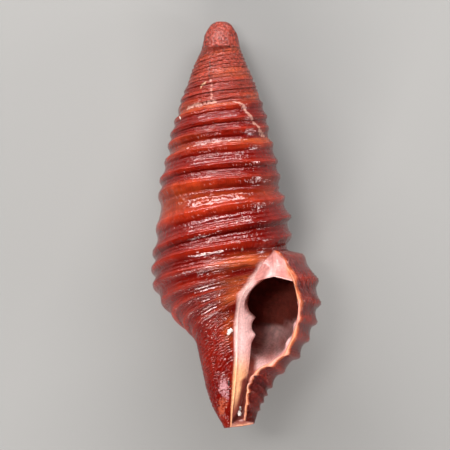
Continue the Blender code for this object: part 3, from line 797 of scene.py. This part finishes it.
def buildShell():
    made = Mesh()
    rows = mesh["rowsPerTurn"]
    points, used, turn, cord = grid(rows, True, fineRelief)
    seamColumn = len(columnCords(True)[0]) - 1
    lastRow = len(points) - 1
    firstBaseRow = lastRow - rows
    lastColumn = points.shape[1] - 1
    own = used.copy()
    own[0, 1:] = False
    own[rows:, 0] = False
    numbers = np.full(turn.shape, -1)
    numbers[own] = made.add(points[own], outsideLooks(turn[own], cord[own]))
    numbers[0, :seamColumn + 1] = numbers[0, 0]
    numbers[rows:, 0] = numbers[:-rows, seamColumn]
    lengths = grownLengths(rowTurns(rows, True))
    spots = np.stack([np.broadcast_to(lengths[:, None], cord.shape), cord], axis=-1)
    for row in range(lastRow):
        end = (lastColumn if row >= firstBaseRow else seamColumn) + 1
        made.strip(numbers[row, :end], numbers[row + 1, :end], spots[row], spots[row + 1])
    capApex(made, numbers[:rows, 0], spots[:rows, 0])
    outer = numbers[lastRow]
    tip = numbers[lastRow - 1:firstBaseRow:-1, lastColumn]
    inner = numbers[firstBaseRow, :seamColumn:-1]
    ring = np.concatenate([outer, tip, inner])
    ahead = [points[lastRow] - points[lastRow - 1],
             (points[:, lastColumn] - points[:, lastColumn - 1])[lastRow - 1:firstBaseRow:-1],
             (points[firstBaseRow] * (1, 0, 1))[:seamColumn:-1]]
    rounding = [np.full(len(line), hollow[key]) for line, key in
                ((outer, "lipRounding"), (tip, "canalRounding"), (inner, "callusRounding"))]
    sharp = len(outer) // hollow["sharpStart"]
    rounding[0][:sharp] *= np.linspace(0, 1, sharp)
    rounding = np.concatenate(rounding)[:, None]
    ahead = np.vstack(ahead)
    ahead = ahead / np.linalg.norm(ahead, axis=1)[:, None] * rounding
    ringCords = np.concatenate([cord[lastRow], cord[lastRow - 1:firstBaseRow:-1, lastColumn],
                                cord[firstBaseRow, :seamColumn:-1]])
    hollowOut(made, ring, (len(outer), len(tip), len(inner)), ahead, ringCords)
    return made


def joinRings(made, ringA, ringB, spotA, spotB):
    closedA = np.append(ringA, ringA[0])
    closedB = np.append(ringB, ringB[0])
    made.strip(closedB, closedA, spotB, spotA)


def ringSpots(count, length, cord):
    return np.stack([np.linspace(0, length, count + 1), np.full(count + 1, cord)], axis=-1)


def capApex(made, ring, spots):
    foot = np.vstack(made.points)[ring]
    spread = foot[:, [0, 2]] / np.linalg.norm(foot[:, [0, 2]], axis=1)[:, None]
    heights = np.linspace(0, 1, mesh["domeRows"] + 1)[1:-1]
    pairs = ((0.0, 0.0),) + form["dome"] + (form["seam"][0][1:],)
    dome = [(number,) + pair for number, pair in enumerate(pairs)]
    around = spots[-1, 0] + 0.02  # and the short way from the last point to the first
    topCord, cordRise = mesh["domeMap"]
    was = ringSpots(len(ring), around, 0)
    looks = outsideLooks(*(np.full(len(ring), number) for number in outside["domePlace"]))
    looks[:, layers["skin"][0]] = outside["domeSkin"]
    strength, across, upwards = outside["domeGrain"]
    for step in heights[::-1]:
        depth, radius = readTable(dome, (len(dome) - 1) * step)
        rough = grain(spread[:, 0] * across, spread[:, 1] * across, step * upwards)
        rough = rough * min(1, 4 - 4 * step)  # none at the dome's foot
        radius = radius * (1 + strength * rough)
        level = [spread[:, 0] * radius, np.full(len(ring), -depth[0]), spread[:, 1] * radius]
        upper = made.add(np.stack(level, axis=-1), looks)
        spot = ringSpots(len(ring), around, topCord + cordRise * step)
        joinRings(made, ring, upper, was, spot)
        ring, was = upper, spot
    top = np.repeat(made.add(np.zeros((1, 3)), looks[:1]), len(ring))
    joinRings(made, ring, top, was, ringSpots(len(ring), around, topCord))


def hollowOut(made, ring, counts, ahead, ringCords):
    spire, base = columnCords(True)
    outerParts = arcFractions(plainEdge(form["lipTurn"], np.concatenate([spire, base])))
    innerParts = arcFractions(plainEdge(form["lipTurn"] - 1, np.concatenate([spire[-1:], base])))[1:]
    rim = np.vstack(made.points)[ring]
    side = np.concatenate([np.zeros(counts[0]), np.linspace(0, 1, counts[1]), np.ones(counts[2])])
    count = len(hollow["rings"]) - 1
    indices = np.linspace(0, count, count * hollow["ringsBetween"] + 1)
    loops = [hollowLoop(index, outerParts, counts[1], innerParts) for index in indices]
    steps = np.array(hollow["rimSteps"])
    indices = np.concatenate([steps - 1, indices])
    loops = [blend(rim, loops[0], step) + ahead * math.sin(math.pi * step) for step in steps] + loops
    length, firstCord = mesh["hollowMap"]
    was = ringSpots(len(ring), length, firstCord)
    for index, loop in zip(indices, loops):
        after = made.add(loop, hollowLooks(index, loop, ringCords, side))
        spot = ringSpots(len(ring), length, firstCord + 1 + index)
        joinRings(made, ring, after, was, spot)
        ring, was = after, spot
    last = loops[-1].mean(axis=0)[None]
    middle = made.add(last, hollowLooks(indices[-1], last, ringCords[:1], side[:1]))
    joinRings(made, ring, np.repeat(middle, len(ring)), was, was)


def wearFlat(shaped):  # the small flats that the shell rests on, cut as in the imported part
    everything = shaped.verts[:] + shaped.edges[:] + shaped.faces[:]
    cut = bmesh.ops.bisect_plane(shaped, geom=everything, dist=rest["snap"] * mm,
                                 plane_co=(0, 0, 0), plane_no=(0, 0, 1), clear_inner=True)
    edges = [item for item in cut["geom_cut"] if isinstance(item, bmesh.types.BMEdge)]
    for item in cut["geom_cut"]:
        if isinstance(item, bmesh.types.BMVert):
            item.co.z = 0.0
    bmesh.ops.contextual_create(shaped, geom=edges)


def placed(name, data):
    thing = bpy.data.objects.new(name, data)
    bpy.context.scene.collection.objects.link(thing)
    return thing


def meshObject(made, name, material):
    data = bpy.data.meshes.new(name)
    points = layDown(np.vstack(made.points))
    data.from_pydata(points.tolist(), [], made.faces)
    spots = data.uv_layers.new(name="growth")
    spots.uv.foreach_set("vector", np.array(made.corners, dtype=np.float32).ravel())
    looks = np.vstack(made.looks).astype(np.float32)
    for layer, (columns, kind, key) in layers.items():
        data.attributes.new(layer, kind, "POINT").data.foreach_set(key, looks[:, columns].ravel())
    shaped = bmesh.new()
    shaped.from_mesh(data)
    wearFlat(shaped)
    bmesh.ops.triangulate(shaped, faces=shaped.faces[:])
    bmesh.ops.recalc_face_normals(shaped, faces=shaped.faces[:])
    shaped.to_mesh(data)
    shaped.free()
    data.shade_smooth()
    data.materials.append(material)
    return placed(name, data)


class Wire:  # a socket of a material, so that sums on wires add its Math nodes
    def __init__(self, tree, socket=None):
        self.tree = tree
        self.socket = socket

    def node(self, kind, settings, values, output=0):
        made = self.tree.nodes.new("ShaderNode" + kind)
        for name, value in settings.items():
            setattr(made, name, value)
        for name, value in values.items():
            if isinstance(value, Wire):
                self.tree.links.new(value.socket, made.inputs[name])
            else:
                made.inputs[name].default_value = value
        return Wire(self.tree, made.outputs[output] if made.outputs else None)

    def parts(self):
        first = self.node("SeparateXYZ", {}, {0: self})
        return [Wire(self.tree, output) for output in first.socket.node.outputs]

    def maths(self, operation, first, second):
        return self.node("Math", {"operation": operation}, {0: first, 1: second})

    def __add__(self, other):
        return self.maths("ADD", self, other)

    def __sub__(self, other):
        return self.maths("SUBTRACT", self, other)

    def __rsub__(self, other):
        return self.maths("SUBTRACT", other, self)

    def __mul__(self, other):
        return self.maths("MULTIPLY", self, other)

    def __truediv__(self, other):
        return self.maths("DIVIDE", self, other)

    __radd__ = __add__
    __rmul__ = __mul__


def blended(wire, share, first, second):
    return wire.node("Mix", {"data_type": "RGBA"}, {0: share, 6: first, 7: second}, 2)


def softStep(wire, value, low, high):
    limits = {"Value": value, "From Min": low, "From Max": high}
    return wire.node("MapRange", {"interpolation_type": "SMOOTHSTEP"}, limits)


def softNoise(wire, vector, scale, detail, dimensions="3D", **values):
    values = {"Vector": vector, "Scale": scale, "Detail": detail, **values}
    return wire.node("TexNoise", {"noise_dimensions": dimensions}, values)


def pointLayer(wire, name, output=0):
    return wire.node("Attribute", {"attribute_name": name}, {}, output)


def newMaterial(name, describe):  # describe gives the values for the shader's sockets
    material = bpy.data.materials.new(name)
    material.use_nodes = True
    material.node_tree.nodes.clear()
    wire = Wire(material.node_tree)
    shader = wire.node("BsdfPrincipled", {}, describe(wire))
    wire.node("OutputMaterial", {}, {"Surface": shader})
    return material


# Heights and sizes in millimetres.
finish = {
    "gloss": 0.40,
    "glossColour": (1.0, 0.82, 0.80, 1),
    "smoothest": 0.13,
    "dullest": 0.55,
    "striaHeight": 0.028,
    "striaSpacing": 0.10,
    "striaLean": (0.15, 0.17),  # how far striae slant across the cords, and how fast they change there
    "striaRoughness": 0.6,
    "threadHeight": 0.026,
    "threadBeads": (3.0, 6.0),  # to a millimetre of growth, to a cord number
    "lineHeight": 0.0085,  # fine lines along the cords
    "lines": 4,  # to each cord number
    "lineWaver": 3.0,
    "wrinkleHeight": 0.24,
    "wrinkleSize": 0.13,
    "wrinklesAcross": 1.7,
    "wrinkleTwist": 1.2,
    "grainHeight": 0.034,
    "grainSize": 0.09,
    # The colour follows the grains, striae and threads: partly the shell's own uneven tone, partly painted
    # highlight on the raised parts and painted shade in the pits and grooves.
    "grainToneAndPaintedShade": 1.6,
    "mottle": 0.5,
    "crustHoles": 2.4,
    "crustEdge": (0.30, 0.65),  # the cover at which a crust begins to show and shows fully
}


def shellFinish(wire):
    tint = pointLayer(wire, "tint")
    dull = pointLayer(wire, "tint", 3)
    wrinkles = pointLayer(wire, "wrinkles", 2)
    skin = pointLayer(wire, "skin", 1)
    length, cord = wire.node("UVMap", {"uv_map": "growth"}, {}).parts()[:2]
    striae, threads, grains = skin.parts()
    along, across = finish["striaLean"]
    lean = wire.node("CombineXYZ", {}, {0: length + cord * along, 1: cord * across})
    stria = softNoise(wire, lean, 1 / finish["striaSpacing"], 2.0, "2D",
                      Roughness=finish["striaRoughness"])
    along, across = finish["threadBeads"]
    beads = wire.node("CombineXYZ", {}, {0: length * along, 1: cord * across})
    thread = softNoise(wire, beads, 1.0, 1.0, "2D")
    spot = wire.node("NewGeometry", {}, {})
    pimple = softNoise(wire, spot, 1 / (finish["grainSize"] * mm), 2.0)
    across = cord * finish["wrinklesAcross"]
    squiggle = wire.node("CombineXYZ", {}, {0: length / finish["wrinkleSize"], 1: across})
    wrinkle = softNoise(wire, squiggle, 1.0, 2.0, "2D", Distortion=finish["wrinkleTwist"])
    phase = cord * (2 * math.pi * finish["lines"]) + stria * finish["lineWaver"]
    line = wire.node("Math", {"operation": "SINE"}, {0: phase})
    height = (stria * striae * finish["striaHeight"] + thread * threads * finish["threadHeight"]
              + line * threads * finish["lineHeight"] + pimple * grains * finish["grainHeight"]
              + wrinkle * wrinkles * finish["wrinkleHeight"])
    bump = wire.node("Bump", {}, {"Height": height, "Distance": mm, "Strength": 1.0})
    # partly own tone, partly painted highlight on raised striae, threads and grains and painted shade
    # between them
    mottle = 1.0 - finish["mottle"] + (stria + thread) * finish["mottle"]
    mottle = mottle + (pimple - 0.5) * grains * finish["grainToneAndPaintedShade"]
    colour = wire.node("VectorMath", {"operation": "SCALE"}, {0: tint, "Scale": mottle})
    mark = pointLayer(wire, "mark")
    cover = pointLayer(wire, "mark", 3)
    holes = 1 + (pimple - 0.5) * finish["crustHoles"] + (stria - 0.5)
    crusted = softStep(wire, cover * holes, *finish["crustEdge"])
    return {
        "Base Color": blended(wire, crusted, colour, mark),
        "Normal": bump,
        "Roughness": (dull + crusted) * (finish["dullest"] - finish["smoothest"]) + finish["smoothest"],
        "Specular IOR Level": finish["gloss"],
        "Specular Tint": finish["glossColour"],
    }


shell = meshObject(buildShell(), "redShell", newMaterial("glossyRedShell", shellFinish))
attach(shell, "root")
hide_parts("shell")
print(f"the shell has {len(shell.data.polygons)} triangles")

# Small white grains of dirt: where they sit as turn and cord, and their size in millimetres.
dirt = {
    "grains": ((6.237, 9.00, 0.075), (6.228, 8.99, 0.060), (6.243, 9.06, 0.050), (6.221, 9.04, 0.040),
               (6.069, 11.65, 0.070), (6.078, 11.60, 0.045), (6.075, 11.50, 0.035), (6.050, 11.55, 0.040)),
    "sides": 10,
    "rings": 7,
    "lumpiness": 0.6,
    "lumpNoise": (1.7, 900, 70),  # how fine, and what sets sizes and places apart
    "sunk": 0.3,
    "colour": (0.82, 0.78, 0.74, 1),
    "shade": (0.5, 0.42, 0.38, 1),
    "noiseScale": 30000.0,
    "bumpHeight": 0.03,
    "roughness": 0.35,
}


def outOfShell(turn, cord):  # a point on the shell, and the way out of it
    steps = ((0, 0), (0.002, 0), (0, 0.02))
    here, nextTurn, nextCord = (surface(turn + a, cord + b, plainRelief)[0] for a, b in steps)
    out = np.cross(nextCord - here, nextTurn - here)
    out = out / np.linalg.norm(out)
    return here, out * (1 if out[0] * here[0] + out[2] * here[2] > 0 else -1)


def grainOfDirt(made, turn, cord, size):  # a lump of rings set a little into the shell
    here, out = outOfShell(np.array([turn]), np.array([cord]))
    middle = here + out * size * (1 - dirt["sunk"])
    sides = dirt["sides"]
    around = 2 * math.pi * np.arange(sides) / sides
    fine, bySize, byTurn = dirt["lumpNoise"]
    ring = None
    for height in np.linspace(-math.pi / 2, math.pi / 2, dirt["rings"]):
        level, up = np.cos(height), np.full(sides, np.sin(height))
        ways = np.stack([level * np.cos(around), up, level * np.sin(around)], axis=-1)
        lumps = 1 + dirt["lumpiness"] * grain(*(ways.T * fine + size * bySize + turn * byTurn))
        upper = made.add(middle + ways * size * lumps[:, None], np.zeros((sides, 12)))
        if ring is not None:
            joinRings(made, ring, upper, ringSpots(sides, 1, 0), ringSpots(sides, 1, 1))
        ring = upper


def dirtFinish(wire):
    spot = wire.node("NewGeometry", {}, {})
    fine = softNoise(wire, spot, dirt["noiseScale"], 2.0)
    bump = wire.node("Bump", {}, {"Height": fine, "Distance": dirt["bumpHeight"] * mm, "Strength": 1.0})
    colour = blended(wire, fine, dirt["shade"], dirt["colour"])
    return {"Base Color": colour, "Normal": bump, "Roughness": dirt["roughness"]}


made = Mesh()
for turn, cord, size in dirt["grains"]:
    grainOfDirt(made, turn, cord, size)
grains = meshObject(made, "whiteGrains", newMaterial("whiteDirt", dirtFinish))
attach(grains, "root")
print(f"{len(dirt['grains'])} grains of dirt sit on the shell")

# The main light stands beyond the top of the photograph, 32 degrees above the floor.
mainWay = (-0.16, math.cos(math.radians(32)), math.sin(math.radians(32)))
studio = {
    "floorSize": 0.6,
    "floor": {"Base Color": (0.23, 0.226, 0.22, 1), "Roughness": 0.8, "Specular IOR Level": 0.1},
    "viewTilt": 6.0,  # degrees that the photograph looks down past the tip of the spire
    "aimAt": (0.137, -7.048, 0.0),
    "frameWidth": 15.46,
    "distance": 300.0,
    "sensor": 36,
    "nearest": 0.01,
    "skyColour": (0.03, 0.03, 0.03, 1),
    "lightsAimAt": (0, 0, 0.002),
    "softboxes": {  # direction, distance, width and height in metres, brightness, colour
        "mainSoftbox": (mainWay, 0.12, (0.245, 0.024), 32.0, (1, 1, 1)),
        "lowFill": ((-0.12, -0.92, 0.40), 0.2, (0.10, 0.05), 42.0, (1, 0.97, 0.94)),
        "rightStrip": ((0.95, -0.15, 0.25), 0.25, (0.014, 0.10), 55.0, (1, 1, 1)),
        "leftStrip": ((-0.95, 0.25, 0.30), 0.25, (0.015, 0.08), 9.0, (1, 1, 1)),
        "frontFill": ((-0.30, 0.25, 1.0), 0.3, (0.08, 0.035), 36.0, (1, 0.98, 0.96)),
    },
}


def makeFloor():
    size = studio["floorSize"] / 2
    data = bpy.data.meshes.new("floor")
    corners = [(-size, -size, 0), (size, -size, 0), (size, size, 0), (-size, size, 0)]
    data.from_pydata(corners, [], [(0, 1, 2, 3)])
    data.materials.append(newMaterial("paleFloor", lambda wire: studio["floor"]))
    floor = placed("floor", data)


def aimed(thing, position, target):  # points it at the target, its sides level along X
    back = (Vector(position) - Vector(target)).normalized()
    side = (Vector((1, 0, 0)) - back * back.x).normalized()
    turned = Matrix((side, back.cross(side), back)).transposed().to_4x4()
    thing.matrix_world = Matrix.Translation(position) @ turned


def softbox(name, direction, distance, size, brightness, colour):
    light = bpy.data.lights.new(name, "AREA")
    light.shape = "RECTANGLE"
    light.size, light.size_y = size
    light.energy = brightness * math.pi * size[0] * size[1]
    light.color = colour
    thing = placed(name, light)
    thing.visible_camera = False
    aimed(thing, Vector(direction).normalized() * distance, studio["lightsAimAt"])


def makeCamera():
    data = bpy.data.cameras.new("camera")
    camera = placed("camera", data)
    tilt = math.radians(restingTilt - studio["viewTilt"])
    towards = Vector((0, math.sin(tilt), math.cos(tilt)))
    target = Vector(layDown(np.array([studio["aimAt"]]))[0])
    aimed(camera, target + towards * studio["distance"] * mm, target)
    data.sensor_width = studio["sensor"]
    data.lens = data.sensor_width * studio["distance"] / studio["frameWidth"]
    data.clip_start = studio["nearest"]
    bpy.context.scene.camera = camera


def makeSky():
    world = bpy.data.worlds.new("studio")
    world.use_nodes = True
    world.node_tree.nodes["Background"].inputs["Color"].default_value = studio["skyColour"]
    bpy.context.scene.world = world


makeFloor()
makeSky()
makeCamera()
for name, settings in studio["softboxes"].items():
    softbox(name, *settings)
bpy.context.scene.view_settings.view_transform = "Standard"
print("floor, lights and camera are in place")
